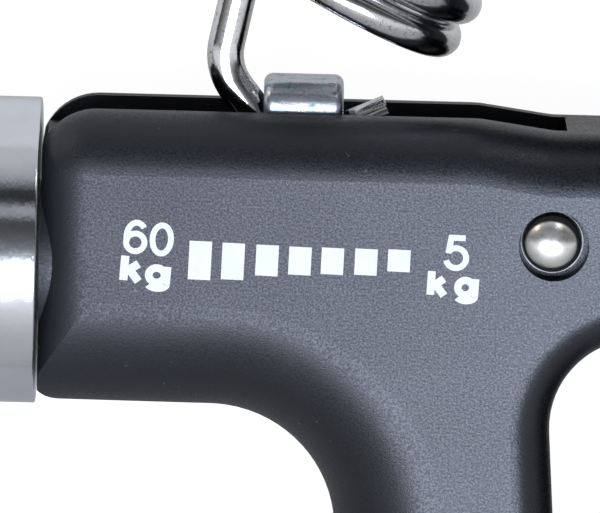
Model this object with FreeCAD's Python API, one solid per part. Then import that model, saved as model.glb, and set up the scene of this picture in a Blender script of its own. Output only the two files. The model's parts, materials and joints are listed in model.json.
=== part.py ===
import FreeCAD, Part
import math
import os

# Adjustable hand grip exerciser, lying flat.  +X runs along the arm towards the pivot,
# +Y away from the handles, +Z up through the thickness.  Millimetres.
# Shapes are drawn about the arm's mid-plane, with Y = 0 near the screw, and shifted at export.

# arm and its fixed handle
arm_left = -50.0
arm_top = 12.7
arm_bottom = -16.23
arm_sag = 0.33
arm_step = 1.0
step_start = -7.5
step_end = -0.2
step_round = 8.0
half_thick = 12.5
edge_round = 4.0
top_round = 5.6
low_round = 11.0
corner_round = 6.0
top_corner = 5.8
low_corner = 3.0
shoulder_round = 7.5
end_boss_r = 11.0
end_boss_depth = 6.0
end_wall_top = 10.1
handle_left = -20.6
handle_right = 0.9
handle_end = -106.0
inner_fillet = 12.5
outer_fillet = 8.85
outer_corner_x = -0.36
outer_corner_y = -11.45
inner_lean = 0.0693
underside_end = -4.98
core_inset = 2.0
core_round = 5.0
core_end = -103.0
beyond = 90.0

# pivot
pivot_x = -0.28
pivot_y = 1.55
knuckle_r = 14.5
knuckle_gap = 0.5
knuckle_end = 13.5
boss_r = 6.5
tongue_half = 3.6
pocket_half = 4.4
bush_r = 3.6
rivet_r = 2.0
rivet_hole_r = 2.06
rivet_flange_r = 3.05
rivet_head_r = 2.8
counterbore_r = 3.42
counterbore_depth = 2.5
counterbore_x = 0.17
counterbore_y = -0.27
rivet_flange = 0.9
rivet_head = 1.5
rivet_head_round = 0.45
rivet_washer = 0.6
rivet_washer_r = 3.2
dome_height = 1.5
peened_r = 2.6
peened_height = 1.2
tongue_washer_r = 5.5
washer_play = 0.05

# adjusting screw, knob and nut
screw_y = -2.07
screw_r = 4.0
journal_r = 3.0
tail_r = 2.0
running = 0.05
knob_r = 15.0
knob_length = 14.0
knob_gap = 0.25
knob_plain = 5.6
knob_edge = 0.6
knob_web = 2.2
flute_count = 36
flute_r = 1.0
flute_offset = 0.3
disc_r = 9.0
disc_depth = 1.0
set_screw_x = -60.0
set_screw_r = 2.0
set_screw_length = 8.0
socket_r = 1.1
socket_depth = 2.5
disc_stand = 0.4
disc_edge = 0.35
washer_depth = 0.8
thrust_r = 6.9
bush_outer = 4.5
tail_bush_r = 3.0
tail_length = 2.6
tail_play = 0.2
clip_r = 5.0
thread_left = -45.0
thread_right = -11.0
slot_half = 5.3
slot_floor = -8.4
shallow_floor = 8.3
slot_end = 1.05
channel_left = -46.0
channel_right = -10.6
nut_x = -24.7
nut_half = 3.9
nut_depth_half = 5.0
nut_top = 15.65
nut_bottom = -7.6
nut_edge = 0.9
nut_shoulder = 2.3
eye_play = 0.45
mouth_depth = 1.7
mouth_low = 1.2
mouth_high = 4.0

# extension spring: wire, hook in the nut, coil and its axis
wire_r = 1.8
eye_y = 9.55
eye_bend = 7.0
hook_low_x = -1.51
hook_low_y = -1.67
tip_lean = math.radians(24.5)
tip_length = 10.9
knee_x = -8.16
knee_y = 16.45
knee_bend = 5.5
coil_r = 10.15
coil_pitch = 3.8
coil_turns = 3.5
coil_lean = math.radians(59.5)
coil_x = -20.95
coil_y = 23.55
leg_bend = 3.6
anchor_x = -6.0
anchor_y = 46.5
anchor_r = 2.5
anchor_eye = 4.7
anchor_head_r = 4.2
retainer_edge = 0.8
eye_wrap = math.radians(235.0)
first_turn = 20.2 / 360
last_turn = coil_turns - 20.2 / 360

# lever: its handle is drawn upright beside the fixed one, then opened about the pivot
lever_open = math.radians(18.0)
lever_left = 9.5
lever_right = 30.5
lever_round = 4.5
fork_half = 2.6
fork_depth = 8.0

# grips
grip_half = 15.0
grip_wall = 2.4
grip_top = -29.5
grip_round = 6.5
grip_corner = 9.0
finger_grooves = 4
groove_pitch = 16.1
first_groove = -45.2
groove_r = 13.3
groove_depth = 1.7
cap_half = 8.0
cap_height = 1.5
cap_round = 4.0
cap_edge = 0.9

vec = FreeCAD.Vector
up = vec(0, 0, 1)
along = vec(1, 0, 0)


def rounded_wire(corners, z=0.0):
    """Closed wire through corners (x, y, radius), each corner rounded by a tangent arc."""
    count = len(corners)
    stations = []
    for i in range(count):
        before = corners[i - 1]
        here = corners[i]
        after = corners[(i + 1) % count]
        point = vec(here[0], here[1], z)
        to_before = vec(before[0], before[1], z).sub(point).normalize()
        to_after = vec(after[0], after[1], z).sub(point).normalize()
        radius = here[2]
        if radius <= 0:
            stations.append((point, None, point))
            continue
        half = to_before.getAngle(to_after) / 2
        reach = radius / math.tan(half)
        middle = to_before.add(to_after).normalize()
        centre = point.add(middle.multiply(radius / math.sin(half)))
        inward = point.sub(centre).normalize()
        start = point.add(vec(to_before).multiply(reach))
        end = point.add(vec(to_after).multiply(reach))
        stations.append((start, centre.add(inward.multiply(radius)), end))
    edges = []
    for i in range(count):
        start, through, end = stations[i]
        if through is not None:
            edges.append(Part.Arc(start, through, end).toShape())
        following = stations[(i + 1) % count][0]
        if end.distanceToPoint(following) > 1e-6:
            edges.append(Part.makeLine(end, following))
    return Part.Wire(edges)


def plate(corners, half):
    """Plate of the outline, reaching half above and below the mid-plane."""
    face = Part.Face(rounded_wire(corners, -half))
    return face.extrude(vec(0, 0, 2 * half))


def rim_edges(shape, half, corners):
    """Edges of the plate's two faces, without those between two sharp corners."""
    sharp = [vec(x, y, 0) for x, y, radius in corners if radius <= 0]
    rims = []
    for edge in shape.Edges:
        if edge.BoundBox.ZLength > 1e-6:
            continue
        ends = [vec(vertex.X, vertex.Y, 0) for vertex in edge.Vertexes]
        at_sharp = [min([end.distanceToPoint(s) for s in sharp] + [99]) < 1e-3 for end in ends]
        if not all(at_sharp):
            rims.append(edge)
    return rims


def soft_plate(corners, half, radius):
    """Plate with both rims rounded."""
    solid = plate(corners, half)
    return solid.makeFillet(radius, rim_edges(solid, half, corners))


def box(x0, x1, y0, y1, z0, z1):
    return Part.makeBox(x1 - x0, y1 - y0, z1 - z0, vec(x0, y0, z0))


def rod_x(x0, x1, radius):
    """Round bar on the screw's axis."""
    return Part.makeCylinder(radius, x1 - x0, vec(x0, screw_y, 0), along)


def rod_z(x, y, z0, z1, radius):
    return Part.makeCylinder(radius, z1 - z0, vec(x, y, z0), up)


def turned(x, y, angle):
    """Point turned about the pivot, positive anticlockwise."""
    dx = x - pivot_x
    dy = y - pivot_y
    c = math.cos(angle)
    s = math.sin(angle)
    return pivot_x + dx * c - dy * s, pivot_y + dx * s + dy * c


def polar(radius, degrees):
    """Point at a distance and a direction from the pivot."""
    angle = math.radians(degrees)
    return pivot_x + radius * math.cos(angle), pivot_y + radius * math.sin(angle)


def opened(solid):
    """The solid turned with the lever to its open place."""
    return solid.rotate(vec(pivot_x, pivot_y, 0), up, math.degrees(lever_open))


def sector(radius, first, last, half):
    """Wedge about the pivot between two directions."""
    middle = (first + last) / 2
    hub = vec(pivot_x, pivot_y, -half)
    a = vec(*polar(radius, first), -half)
    b = vec(*polar(radius, middle), -half)
    c = vec(*polar(radius, last), -half)
    edges = [Part.makeLine(hub, a), Part.Arc(a, b, c).toShape(), Part.makeLine(c, hub)]
    return Part.Face(Part.Wire(edges)).extrude(vec(0, 0, 2 * half))


def tube_along(corners, radius):
    """Round bar along a route of corners (point, bend radius)."""
    count = len(corners)
    edges = []
    last = corners[0][0]
    for i in range(1, count - 1):
        point, bend = corners[i]
        back = corners[i - 1][0].sub(point).normalize()
        ahead = corners[i + 1][0].sub(point).normalize()
        half = back.getAngle(ahead) / 2
        reach = bend / math.tan(half)
        middle = back.add(ahead).normalize()
        centre = point.add(vec(middle).multiply(bend / math.sin(half)))
        start = point.add(vec(back).multiply(reach))
        end = point.add(vec(ahead).multiply(reach))
        through = centre.sub(vec(middle).multiply(bend))
        if last.distanceToPoint(start) > 1e-4:
            edges.append(Part.makeLine(last, start))
        edges.append(Part.Arc(start, through, end).toShape())
        last = end
    edges.append(Part.makeLine(last, corners[-1][0]))
    route = Part.Wire(edges)
    heading = edges[0].tangentAt(edges[0].FirstParameter)
    ring = Part.Wire(Part.makeCircle(radius, corners[0][0], heading))
    return route.makePipeShell([ring], True, True)


# frame

def top_path():
    """Corners of the arm's top, from its left end up to the shoulder."""
    return [
        (arm_left - 0.5, arm_top, top_corner),
        (step_start, arm_top, step_round),
        (step_end, arm_top - arm_step, step_round),
    ]


def shoulder_path():
    """Corners of the arm's right end and the handle's inner side."""
    return [
        (knuckle_end, arm_top - arm_step, shoulder_round),
        (knuckle_end, underside_end, corner_round),
        (outer_corner_x, outer_corner_y, outer_fillet),
        (outer_corner_x + (outer_corner_y + beyond) * inner_lean, -beyond, 0.0),
    ]


def frame_outline():
    low = grip_top - 3.0
    low_right = outer_corner_x + (outer_corner_y - low) * inner_lean
    shoulder = shoulder_path()[:3]
    return [
        *top_path(),
        *shoulder,
        (low_right, low, 0.0),
        (handle_left, low, 0.0),
        (handle_left, arm_bottom - arm_sag, inner_fillet),
        (arm_left - 0.5, arm_bottom, low_corner),
    ]


def make_frame_shell():
    """Arm and handle as one plate, its top and left end, inner side and outer underside each rounded."""
    shell = plate(frame_outline(), half_thick)
    end_low = (arm_left - 0.5, -beyond, 0.0)
    low_right = (beyond, -beyond, 0.0)
    far_right = (beyond, arm_top - arm_step, 0.0)
    top = soft_plate([*top_path(), far_right, low_right, end_low], half_thick, top_round)
    inner = soft_plate([*top_path(), *shoulder_path(), end_low], half_thick, edge_round)
    outer = soft_plate([
        (-beyond, arm_bottom, 0.0),
        (handle_left, arm_bottom - arm_sag, inner_fillet),
        (handle_left, -beyond, 0.0),
        (beyond, -beyond, 0.0),
        (beyond, beyond, 0.0),
        (-beyond, beyond, 0.0),
    ], half_thick, low_round)
    for block in (top, inner, outer):
        shell = shell.common(block)
    return shell


def handle_core(left, right):
    """Narrower core of a handle, under its grip."""
    corners = [
        (left + core_inset, grip_top, 0.0),
        (right - core_inset, grip_top, 0.0),
        (right - core_inset, core_end, core_round),
        (left + core_inset, core_end, core_round),
    ]
    return plate(corners, half_thick - core_inset)


def make_frame_body():
    body = make_frame_shell()
    body = body.cut(box(-beyond, arm_left, -beyond, beyond, -20, 20))
    body = body.cut(box(-beyond, beyond, -200, grip_top, -20, 20))
    body = body.fuse(handle_core(handle_left, handle_right))
    body = body.fuse(rod_x(arm_left, arm_left + end_boss_depth, end_boss_r))
    # slot: over the end wall, deep where the nut runs, shallow towards the pivot
    body = body.cut(box(-80, channel_left, end_wall_top, 30, -slot_half, slot_half))
    body = body.cut(box(channel_left, channel_right, slot_floor, 30, -slot_half, slot_half))
    body = body.cut(box(channel_right, slot_end, shallow_floor, 30, -slot_half, slot_half))
    # screw bearings
    body = body.cut(rod_x(arm_left - 1, channel_left + 1, bush_outer))
    body = body.cut(rod_x(arm_left - 1, arm_left + washer_depth, thrust_r + 0.1))
    body = body.cut(rod_x(channel_right - 1, channel_right + tail_length, tail_bush_r))
    # pocket for the lever's tongue
    body = body.cut(rod_z(pivot_x, pivot_y, -pocket_half, pocket_half, boss_r + 0.5))
    body = body.cut(sector(40.0, -66.0, 36.0, pocket_half))
    # pivot hole and its two counterbores, the front one a little off centre
    seat = half_thick - counterbore_depth
    front_x = pivot_x + counterbore_x
    front_y = pivot_y + counterbore_y
    body = body.cut(rod_z(pivot_x, pivot_y, -20, 20, rivet_hole_r))
    body = body.cut(rod_z(front_x, front_y, seat, 20, counterbore_r))
    return body.cut(rod_z(pivot_x, pivot_y, -20, -seat, counterbore_r))


def make_grip(left, right):
    """Plain rubber sleeve around a handle's core, closed at its lower end."""
    corners = [
        (left - grip_wall, grip_top + 12.0, 0.0),
        (right + grip_wall, grip_top + 12.0, 0.0),
        (right + grip_wall, handle_end, grip_corner),
        (left - grip_wall, handle_end, grip_corner),
    ]
    sleeve = soft_plate(corners, grip_half, grip_round)
    sleeve = sleeve.cut(box(-60, 60, grip_top, 40, -20, 20))
    return sleeve.cut(handle_core(left, right))


def make_finger_grip(left, right):
    """Sleeve with hollows for four fingers down its outer side."""
    sleeve = make_grip(left, right)
    middle = left - grip_wall + groove_depth - groove_r
    for i in range(finger_grooves):
        sleeve = sleeve.cut(rod_z(middle, first_groove - groove_pitch * i, -20, 20, groove_r))
    return sleeve


def make_cap(left, right):
    """Hard plug closing the lower end of a grip."""
    middle = (left + right) / 2
    low = handle_end - cap_height
    plug = box(middle - cap_half, middle + cap_half, low, handle_end, -cap_half, cap_half)
    uprights = [edge for edge in plug.Edges if edge.BoundBox.YLength > cap_height / 2]
    plug = plug.makeFillet(cap_round, uprights)
    rim = [edge for edge in plug.Edges if edge.BoundBox.YMax < low + 0.1]
    return plug.makeFillet(cap_edge, rim)


# lever

def lever_outline():
    low = grip_top - 3.0
    return [
        (8.5, -8.5, 6.0),
        (10.8, 28.0, 10.0),
        (0.5, anchor_y - 6.2, 8.0),
        (anchor_x - 6.2, anchor_y - 6.2, 6.0),
        (anchor_x - 6.2, anchor_y + 6.2, 6.0),
        (4.0, anchor_y + 6.2, 14.0),
        (22.0, 42.0, 16.0),
        (31.0, 20.0, 20.0),
        (*turned(lever_right, -6.0, lever_open), 20.0),
        (*turned(lever_right, low, lever_open), 0.0),
        (*turned(lever_left, low, lever_open), 0.0),
        (*turned(lever_left, -21.0, lever_open), 9.0),
    ]


def make_lever_body():
    body = soft_plate(lever_outline(), half_thick, lever_round)
    body = body.cut(opened(box(-10, 60, -200, grip_top, -20, 20)))
    body = body.fuse(opened(handle_core(lever_left, lever_right)))
    body = body.cut(rod_z(pivot_x, pivot_y, -20, 20, knuckle_r + knuckle_gap))
    body = body.fuse(sector(18.0, -34.0, 30.0, tongue_half))
    body = body.fuse(rod_z(pivot_x, pivot_y, -tongue_half, tongue_half, boss_r))
    body = body.cut(rod_z(pivot_x, pivot_y, -20, 20, bush_r))
    # fork and pin hole for the spring's upper hook
    fork_right = anchor_x + fork_depth
    body = body.cut(box(-30, fork_right, 35, 60, -fork_half, fork_half))
    return body.cut(rod_z(anchor_x, anchor_y, -20, 20, anchor_r))


# pivot

def dome(x, y, base, radius, height, side):
    """Spherical cap standing on a plane, towards +Z or -Z."""
    ball_r = (radius * radius + height * height) / (2 * height)
    ball = Part.makeSphere(ball_r, vec(x, y, side * (base + height - ball_r)))
    low = min(side * base, side * (base + height + 1))
    keep = rod_z(x, y, low, low + height + 1, radius)
    return ball.common(keep)


def make_rivet():
    """Pivot rivet: flange and domed head in front, plain shank, peened rear head."""
    seat = half_thick - counterbore_depth
    head_top = seat + rivet_flange + rivet_head
    head = rod_z(pivot_x, pivot_y, seat, head_top, rivet_head_r)
    head = head.fuse(dome(pivot_x, pivot_y, head_top, rivet_head_r, dome_height, 1))
    shoulder = [e for e in head.Edges if abs(e.BoundBox.ZMax - head_top) < 1e-4 and e.BoundBox.ZLength < 1e-4]
    head = head.makeFillet(rivet_head_round, shoulder)
    rivet = rod_z(pivot_x, pivot_y, -seat - rivet_washer, seat, rivet_r)
    rivet = rivet.fuse(rod_z(pivot_x, pivot_y, seat, seat + rivet_flange, rivet_flange_r))
    rivet = rivet.fuse(head)
    return rivet.fuse(dome(pivot_x, pivot_y, seat + rivet_washer, peened_r, peened_height, -1))


def ring_z(x, y, z0, z1, outer, inner):
    return rod_z(x, y, z0, z1, outer).cut(rod_z(x, y, z0 - 1, z1 + 1, inner))


def ring_x(x0, x1, outer, inner):
    return rod_x(x0, x1, outer).cut(rod_x(x0 - 1, x1 + 1, inner))


def make_tongue_washer(z0, z1):
    return ring_z(pivot_x, pivot_y, z0, z1, tongue_washer_r, rivet_r)


def make_anchor_pin():
    """Plain pin with a domed head in front; its tail takes the push-on retainer."""
    pin = rod_z(anchor_x, anchor_y, -grip_half + 0.4, half_thick, anchor_r)
    return pin.fuse(dome(anchor_x, anchor_y, half_thick, anchor_head_r, grip_half - half_thick, 1))


def make_pin_retainer():
    retainer = rod_z(anchor_x, anchor_y, -grip_half, -half_thick, anchor_head_r)
    rim = [edge for edge in retainer.Edges if edge.BoundBox.ZMax < -grip_half + 0.1]
    retainer = retainer.makeFillet(retainer_edge, rim)
    return retainer.cut(rod_z(anchor_x, anchor_y, -20, 0, anchor_r))


# adjusting screw

def make_knob():
    """Round knob, plain towards the arm and fluted at its free end."""
    right = arm_left - knob_gap
    left = right - knob_length
    knob = rod_x(left, right, knob_r)
    rims = [e for e in knob.Edges if e.BoundBox.XLength < 1e-6]
    knob = knob.makeFillet(knob_edge, rims)
    flute_start = left - 1
    flute_end = right - knob_plain
    for i in range(flute_count):
        angle = 2 * math.pi * (i + 0.5) / flute_count
        y = screw_y + (knob_r + flute_offset) * math.cos(angle)
        z = (knob_r + flute_offset) * math.sin(angle)
        knob = knob.cut(Part.makeCylinder(flute_r, flute_end - flute_start, vec(flute_start, y, z), along))
    knob = knob.cut(rod_x(left + knob_web, right + 1, journal_r))
    knob = knob.cut(rod_x(left - 1, left + disc_depth, disc_r))
    hole = Part.makeCylinder(set_screw_r, knob_r + 1, vec(set_screw_x, screw_y, 0), vec(0, 1, 0))
    return knob.cut(hole)


def make_set_screw():
    """Cup-point set screw with a hexagon socket."""
    base = screw_y + journal_r
    screw = Part.makeCylinder(set_screw_r, set_screw_length, vec(set_screw_x, base, 0), vec(0, 1, 0))
    points = []
    for i in range(7):
        a = math.pi / 3 * i
        floor = base + set_screw_length - socket_depth
        points.append(vec(set_screw_x + socket_r * math.cos(a), floor, socket_r * math.sin(a)))
    socket = Part.Face(Part.makePolygon(points)).extrude(vec(0, 2 * socket_depth, 0))
    return screw.cut(socket)


def make_end_disc():
    left = arm_left - knob_gap - knob_length
    disc = rod_x(left - disc_stand, left + disc_depth, disc_r)
    rim = [e for e in disc.Edges if e.BoundBox.XLength < 1e-6 and e.BoundBox.XMin < left]
    return disc.makeFillet(disc_edge, rim)


def make_lead_screw():
    """Screw with a journal into the knob, a threaded run and a tail journal."""
    left = arm_left - knob_gap - knob_length
    screw = rod_x(left + knob_web, thread_left, journal_r)
    screw = screw.fuse(rod_x(thread_left, thread_right, screw_r))
    return screw.fuse(rod_x(thread_right, channel_right + tail_length - tail_play, tail_r))


# nut and spring

def along_coil(turn, radius):
    """Point of the coil's wire after so many turns, at a radius from its axis."""
    across = vec(math.sin(coil_lean), -math.cos(coil_lean), 0)
    axis = vec(math.cos(coil_lean), math.sin(coil_lean), 0)
    angle = 2 * math.pi * turn
    point = vec(coil_x, coil_y, 0)
    point = point.add(across.multiply(-radius * math.cos(angle)))
    point = point.add(vec(0, 0, radius * math.sin(angle)))
    return point.add(axis.multiply(coil_pitch * turn))


def coil_heading(turn):
    step = 1e-4
    return along_coil(turn + step, coil_r).sub(along_coil(turn - step, coil_r)).normalize()


def lower_route():
    """Hook in the nut, then the leg up to the coil's first point."""
    start = along_coil(first_turn, coil_r)
    back = coil_heading(first_turn)
    corner = start.sub(vec(back).multiply(start.z / back.z))
    corner.z = 0
    low = vec(nut_x + hook_low_x, eye_y + hook_low_y, 0)
    tip = low.add(vec(math.cos(tip_lean), math.sin(tip_lean), 0).multiply(tip_length))
    knee = vec(nut_x + knee_x, knee_y, 0)
    return [(tip, 0), (low, eye_bend), (knee, knee_bend), (corner, leg_bend), (start, 0)]


def upper_route():
    """Leg from the coil's last point, up to the eye around the anchor pin."""
    start = along_coil(last_turn, coil_r)
    ahead = coil_heading(last_turn)
    corner = start.sub(vec(ahead).multiply(start.z / ahead.z))
    corner.z = 0
    centre = vec(anchor_x, anchor_y, 0)
    distance = corner.distanceToPoint(centre)
    line = math.atan2(centre.y - corner.y, centre.x - corner.x)
    lean = line - math.asin(anchor_eye / distance)
    reach = math.sqrt(distance ** 2 - anchor_eye ** 2)
    touch = corner.add(vec(math.cos(lean), math.sin(lean), 0).multiply(reach))
    return start, corner, touch, centre


def make_lower_hook():
    return tube_along(lower_route(), wire_r)


def make_upper_hook():
    start, corner, touch, centre = upper_route()
    first = math.atan2(touch.y - centre.y, touch.x - centre.x)
    points = []
    for part in (0.5, 1.0):
        angle = first + part * eye_wrap
        points.append(centre.add(vec(math.cos(angle), math.sin(angle), 0).multiply(anchor_eye)))
    half = corner.sub(start).getAngle(touch.sub(corner)) / 2
    reach = leg_bend * math.tan(half)
    to_start = start.sub(corner).normalize()
    to_touch = touch.sub(corner).normalize()
    bend_in = corner.add(vec(to_start).multiply(reach))
    bend_out = corner.add(vec(to_touch).multiply(reach))
    middle = vec(to_start).add(to_touch).normalize()
    inside = leg_bend / math.cos(half)
    through = corner.add(middle.multiply(inside - leg_bend))
    edges = []
    if start.distanceToPoint(bend_in) > 1e-4:
        edges.append(Part.makeLine(start, bend_in))
    edges.append(Part.Arc(bend_in, through, bend_out).toShape())
    edges.append(Part.makeLine(bend_out, touch))
    edges.append(Part.Arc(touch, points[0], points[1]).toShape())
    heading = edges[0].tangentAt(edges[0].FirstParameter)
    ring = Part.Wire(Part.makeCircle(wire_r, start, heading))
    hook = Part.Wire(edges).makePipeShell([ring], True, True)
    if hook.Volume < 0:
        hook.reverse()
    return hook


def make_coil(begin, end):
    """Stretch of the coil, swept along a helix and stood on the coil's axis."""
    height = coil_pitch * (end - begin)
    helix = Part.makeHelix(coil_pitch, height, coil_r)
    rise = coil_pitch / (2 * math.pi * coil_r)
    ring = Part.Wire(Part.makeCircle(wire_r, vec(coil_r, 0, 0), vec(0, 1, rise)))
    bar = Part.Wire(helix.Edges).makePipeShell([ring], True, True)
    across = vec(math.sin(coil_lean), -math.cos(coil_lean), 0)
    axis = vec(math.cos(coil_lean), math.sin(coil_lean), 0)
    out = vec(across).multiply(-1)
    side = axis.cross(out)
    stand = FreeCAD.Matrix(
        out.x, side.x, axis.x, coil_x,
        out.y, side.y, axis.y, coil_y,
        out.z, side.z, axis.z, 0,
        0, 0, 0, 1,
    )
    bar.rotate(vec(0, 0, 0), up, 360 * begin)
    bar.translate(vec(0, 0, coil_pitch * begin))
    bar.transformShape(stand)
    return bar


def make_nut():
    """Block on the lead screw, with a flared eye for the spring's hook."""
    block = box(nut_x - nut_half, nut_x + nut_half, nut_bottom, nut_top, -nut_depth_half, nut_depth_half)
    ridges = [e for e in block.Edges if e.BoundBox.XLength > nut_half and e.BoundBox.YMin > nut_top - 0.1]
    block = block.makeFillet(nut_shoulder, ridges)
    rims = [e for e in block.Edges if e.BoundBox.XLength < 1e-6]
    block = block.makeFillet(nut_edge, rims)
    block = block.cut(rod_x(nut_x - 10, nut_x + 10, screw_r + running))
    eye_r = wire_r + eye_play
    block = block.cut(tube_along(lower_route()[:3], eye_r))
    for side in (-1, 1):
        mouth = nut_x + side * nut_half
        near = mouth - side * mouth_depth
        lo = min(mouth + side, near)
        hi = max(mouth + side, near)
        block = block.cut(box(lo, hi, eye_y - mouth_low, eye_y + mouth_high, -eye_r, eye_r))
    return block


def build():
    seat = half_thick - counterbore_depth
    split = (first_turn + last_turn) / 2
    parts = {
        "frame_body": make_frame_body(),
        "frame_grip": make_finger_grip(handle_left, handle_right),
        "frame_cap": make_cap(handle_left, handle_right),
        "lever_body": make_lever_body(),
        "lever_grip": opened(make_grip(lever_left, lever_right)),
        "lever_cap": opened(make_cap(lever_left, lever_right)),
        "pivot_rivet": make_rivet(),
        "rivet_washer": ring_z(pivot_x, pivot_y, -seat - rivet_washer, -seat, rivet_washer_r, rivet_r),
        "pivot_bush": ring_z(pivot_x, pivot_y, -tongue_half, tongue_half, bush_r, rivet_hole_r),
        "tongue_washer_front": make_tongue_washer(tongue_half + washer_play, pocket_half),
        "tongue_washer_back": make_tongue_washer(-pocket_half, -tongue_half - washer_play),
        "adjust_knob": make_knob(),
        "knob_set_screw": make_set_screw(),
        "knob_end_disc": make_end_disc(),
        "thrust_washer": ring_x(arm_left - 0.2, arm_left + washer_depth, thrust_r, journal_r + running),
        "front_bush": ring_x(arm_left + washer_depth, channel_left, bush_outer, journal_r + running),
        "lead_screw": make_lead_screw(),
        "retaining_clip": ring_x(channel_left + 0.1, thread_left, clip_r, journal_r),
        "tail_bush": ring_x(channel_right, channel_right + tail_length, tail_bush_r, tail_r + running),
        "slider_nut": make_nut(),
        "spring_hook_lower": make_lower_hook(),
        "spring_coil_lower": make_coil(first_turn, split),
        "spring_coil_upper": make_coil(split, last_turn),
        "spring_hook_upper": make_upper_hook(),
        "spring_anchor_pin": make_anchor_pin(),
        "pin_retainer": make_pin_retainer(),
    }
    return parts


parts = build()
whole = Part.makeCompound(list(parts.values())).optimalBoundingBox(True, False)
shift = vec(-(whole.XMin + whole.XMax) / 2, -(whole.YMin + whole.YMax) / 2, grip_half)
os.makedirs("parts", exist_ok=True)
for name, shape in parts.items():
    shape.translate(shift)
    if len(shape.Solids) == 1:
        shape = shape.Solids[0]
    print(name, "solids", len(shape.Solids), "valid", shape.isValid(), "volume", round(shape.Volume, 1))
    shape.exportStep("parts/" + name + ".step")
print("shift", round(shift.x, 3), round(shift.y, 3), shift.z)
print("size", round(whole.XLength, 2), round(whole.YLength, 2), round(whole.ZLength, 2))
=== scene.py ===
import bpy, bmesh, json, math
from mathutils import Matrix, Vector


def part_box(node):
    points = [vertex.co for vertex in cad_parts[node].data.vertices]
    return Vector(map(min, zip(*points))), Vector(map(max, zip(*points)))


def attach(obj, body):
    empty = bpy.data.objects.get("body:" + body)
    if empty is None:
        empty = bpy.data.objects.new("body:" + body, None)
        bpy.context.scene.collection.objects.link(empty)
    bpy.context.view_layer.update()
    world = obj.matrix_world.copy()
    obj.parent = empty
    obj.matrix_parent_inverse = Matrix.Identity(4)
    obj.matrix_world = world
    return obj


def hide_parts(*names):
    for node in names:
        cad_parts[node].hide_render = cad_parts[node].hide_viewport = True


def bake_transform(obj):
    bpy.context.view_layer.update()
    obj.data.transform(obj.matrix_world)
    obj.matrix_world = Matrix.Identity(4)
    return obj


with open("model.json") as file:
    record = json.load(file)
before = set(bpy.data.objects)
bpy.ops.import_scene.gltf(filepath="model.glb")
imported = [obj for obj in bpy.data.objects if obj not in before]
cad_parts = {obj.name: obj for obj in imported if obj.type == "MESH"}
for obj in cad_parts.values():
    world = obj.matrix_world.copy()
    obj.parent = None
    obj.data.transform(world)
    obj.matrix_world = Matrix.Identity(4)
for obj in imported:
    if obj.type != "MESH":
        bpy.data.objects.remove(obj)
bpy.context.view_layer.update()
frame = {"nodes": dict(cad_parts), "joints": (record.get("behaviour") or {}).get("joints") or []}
mm = 0.001
mergeDistance = 1e-6

# places taken from the frame: the pivot, the drawing's own origin and the arm's front face
joints = {joint["name"]: joint for joint in frame["joints"]}
pivot = Vector(joints["lever_squeeze"]["pos_m"])
pivotDrawn = Vector((-0.28, 1.55, 0))
drawn = pivot - pivotDrawn * mm
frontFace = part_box("frame_body")[1].z


def place(x, y, z=0.0):
    # millimetres about the arm's middle plane, in the drawing's frame
    return drawn + Vector((x, y, z)) * mm


print("frame loaded, pivot at", tuple(round(c, 4) for c in pivot))

# small tools for meshes


def linkNew(name, data):
    thing = bpy.data.objects.new(name, data)
    bpy.context.scene.collection.objects.link(thing)
    return thing


def meshFrom(name, bm):
    mesh = bpy.data.meshes.new(name)
    bm.to_mesh(mesh)
    bm.free()
    return mesh


def closeSeams(bm):
    bmesh.ops.remove_doubles(bm, verts=bm.verts, dist=mergeDistance)
    bmesh.ops.recalc_face_normals(bm, faces=bm.faces)


def finishMesh(mesh, material, sharp):
    mesh.materials.clear()
    mesh.materials.append(material)
    mesh.shade_smooth()
    mesh.set_sharp_from_angle(angle=math.radians(sharp))


def newPiece(name, bm, material, body=None, sharp=40.0):
    mesh = meshFrom(name, bm)
    finishMesh(mesh, material, sharp)
    piece = linkNew(name, mesh)
    if body:
        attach(piece, body)
    return piece


def evaluatedMesh(thing):
    graph = bpy.context.evaluated_depsgraph_get()
    return bpy.data.meshes.new_from_object(thing.evaluated_get(graph))


def newVerts(item):
    return [found for found in item["geom"] if isinstance(found, bmesh.types.BMVert)]


def smoothStep(value):
    value = max(0.0, min(1.0, value))
    return value * value * (3 - 2 * value)


def flatWay(angle):
    return Vector((math.cos(angle), math.sin(angle), 0))


def ringAfter(made, before):
    # the new ring, in the same order as the one it was pulled from
    fresh = set(newVerts(made))
    return [next(edge.other_vert(vert) for edge in vert.link_edges if edge.other_vert(vert) in fresh)
            for vert in before]


def ringEdges(ring):
    found = []
    for vert, following in zip(ring, ring[1:] + ring[:1]):
        found.append(next(edge for edge in vert.link_edges if edge.other_vert(vert) is following))
    return found


# small tools for materials
# in a look, a noise is given as scale, detail, roughness and stretch, and edges are the values of the noise
# where the second colour starts and where it is complete


def startMaterial(name):
    material = bpy.data.materials.new(name)
    material.use_nodes = True
    tree = material.node_tree
    shader = tree.nodes["Principled BSDF"]
    coords = tree.nodes.new("ShaderNodeTexCoord")
    return material, tree, shader, coords.outputs["Object"]


def feedShader(tree, shader, base, rough, normal):
    for value, socket in ((base, "Base Color"), (rough, "Roughness"), (normal, "Normal")):
        tree.links.new(value, shader.inputs[socket])


def noiseNode(tree, where, scale, detail=3.0, rough=0.5, stretch=None):
    if stretch:
        mapping = tree.nodes.new("ShaderNodeMapping")
        mapping.inputs["Scale"].default_value = stretch
        tree.links.new(where, mapping.inputs["Vector"])
        where = mapping.outputs["Vector"]
    noise = tree.nodes.new("ShaderNodeTexNoise")
    noise.inputs["Scale"].default_value = scale
    noise.inputs["Detail"].default_value = detail
    noise.inputs["Roughness"].default_value = rough
    tree.links.new(where, noise.inputs["Vector"])
    return noise.outputs["Fac"]


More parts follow.
